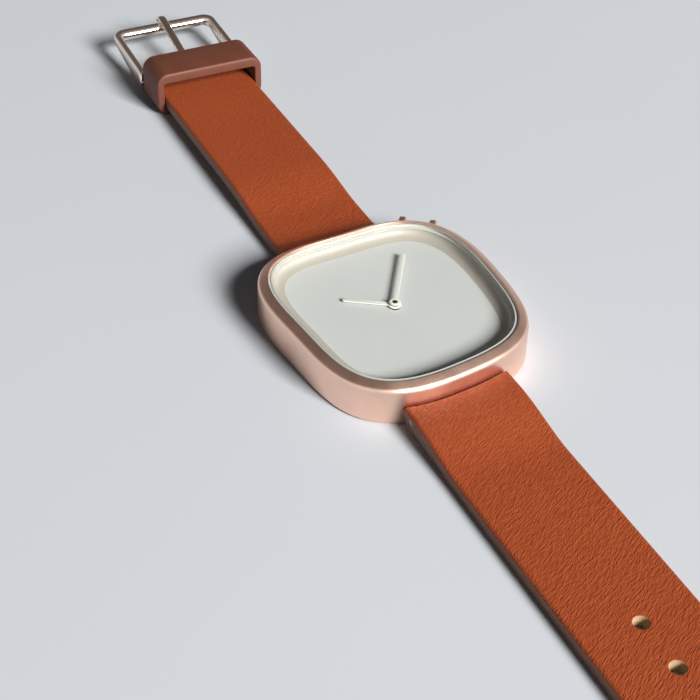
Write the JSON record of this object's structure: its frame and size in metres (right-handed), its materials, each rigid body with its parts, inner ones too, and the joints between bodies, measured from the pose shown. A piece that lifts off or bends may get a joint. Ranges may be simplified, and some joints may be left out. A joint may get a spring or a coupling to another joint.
{
  "type": "square wristwatch",
  "caption": "Wristwatch with a rounded square case, a flat crystal over a dished plain dial, two hands, a fluted crown and a leather strap with a keeper and a pin buckle.",
  "frame": {"origin": "middle of the case at the outer face of the case back", "axes": "+Z out of the dial, +Y towards 12 o'clock and the buckle, +X towards 3 o'clock"},
  "size_m": [0.0374, 0.2333, 0.0084],
  "materials": {
    "case_metal": "satin rose gold coating, fine blasted grain",
    "back_metal": "brushed rose gold coating",
    "gasket_rubber": "matt black",
    "screw_steel": "bright",
    "crystal_glass": "polished, bevelled edge",
    "gasket_pale": "translucent pale grey",
    "flange_lacquer": "satin cream",
    "dial_lacquer": "matt pale grey",
    "hand_lacquer": "satin pale grey",
    "gear_brass": "fine turned",
    "holder_plastic": "ivory moulded",
    "plate_brass": "matt",
    "battery_steel": "smooth",
    "coil_copper": "fine wound copper wire",
    "core_steel": "smooth",
    "board_green": "solder mask",
    "cover_steel": "smooth",
    "stem_steel": "turned",
    "crown_metal": "polished rose gold coating, fluted",
    "strap_leather": "tan, fine grain",
    "keeper_rubber": "matt brown, moulded",
    "buckle_metal": "polished rose gold coating"
  },
  "bodies": {
    "case": {"case_body": "case_metal", "case_back": "back_metal", "case_back_gasket": "gasket_rubber", "case_back_screws": "screw_steel", "crystal": "crystal_glass", "crystal_gasket": "gasket_pale", "flange_ring": "flange_lacquer", "dial": "dial_lacquer", "movement_holder": "holder_plastic", "movement_plate": "plate_brass", "battery": "battery_steel", "battery_clip": "gear_brass", "coil": "coil_copper", "coil_core": "core_steel", "circuit_board": "board_green", "movement_cover": "cover_steel", "crown_tube": "screw_steel", "strap_bar_12": "screw_steel", "strap_bar_6": "screw_steel"},
    "minute": {"minute_hand": "hand_lacquer", "cannon_pinion": "gear_brass"},
    "hour": {"hour_hand": "hand_lacquer", "hour_wheel": "gear_brass"},
    "minute_wheel": {"minute_wheel": "gear_brass"},
    "setting_pinion": {"setting_pinion": "stem_steel"},
    "crown": {"crown": "crown_metal", "winding_stem": "stem_steel", "crown_gasket": "gasket_rubber"},
    "buckle_strap": {"strap_buckle_side": "strap_leather"},
    "hole_strap": {"strap_hole_side": "strap_leather"},
    "keeper": {"keeper": "keeper_rubber"},
    "buckle": {"buckle_frame": "buckle_metal", "buckle_pin": "screw_steel"},
    "tongue": {"buckle_tongue": "buckle_metal"}
  },
  "joints": [
    {"name": "minute_hand_turn", "type": "hinge", "parent": "case", "child": "minute", "pos_m": [0, 0, 0.004], "axis": [0, 0, -1], "continuous": true},
    {"name": "hour_hand_turn", "type": "hinge", "parent": "case", "child": "hour", "pos_m": [0, 0, 0.004], "axis": [0, 0, -1], "continuous": true},
    {"name": "minute_wheel_turn", "type": "hinge", "parent": "case", "child": "minute_wheel", "pos_m": [0.00188, 0.00259, 0.0035], "axis": [0, 0, -1], "continuous": true},
    {"name": "crown_turn", "type": "hinge", "parent": "case", "child": "setting_pinion", "pos_m": [0, 0, 0.003], "axis": [0.5878, 0.809, 0], "continuous": true},
    {"name": "crown_pull", "type": "slide", "parent": "setting_pinion", "child": "crown", "axis": [0.5878, 0.809, 0], "range_m": [0, 0.0009]},
    {"name": "buckle_strap_hinge", "type": "hinge", "parent": "case", "child": "buckle_strap", "pos_m": [0, 0.02199, 0.002], "axis": [1, 0, 0], "range_deg": [-75, 5]},
    {"name": "hole_strap_hinge", "type": "hinge", "parent": "case", "child": "hole_strap", "pos_m": [0, -0.02302, 0.002], "axis": [-1, 0, 0], "range_deg": [-75, 5]},
    {"name": "keeper_slide", "type": "slide", "parent": "buckle_strap", "child": "keeper", "axis": [0, 1, 0], "range_m": [-0.026, 0.0009]},
    {"name": "buckle_hinge", "type": "hinge", "parent": "buckle_strap", "child": "buckle", "pos_m": [0, 0.089, 0.0025], "axis": [1, 0, 0], "range_deg": [-40, 30]},
    {"name": "tongue_hinge", "type": "hinge", "parent": "buckle", "child": "tongue", "pos_m": [0, 0.089, 0.0025], "axis": [1, 0, 0], "range_deg": [0, 54]}
  ],
  "couplings": [
    {"joint": "hour_hand_turn", "follows": "minute_hand_turn", "ratio": 0.083333},
    {"joint": "minute_wheel_turn", "follows": "minute_hand_turn", "ratio": -0.33333}
  ]
}
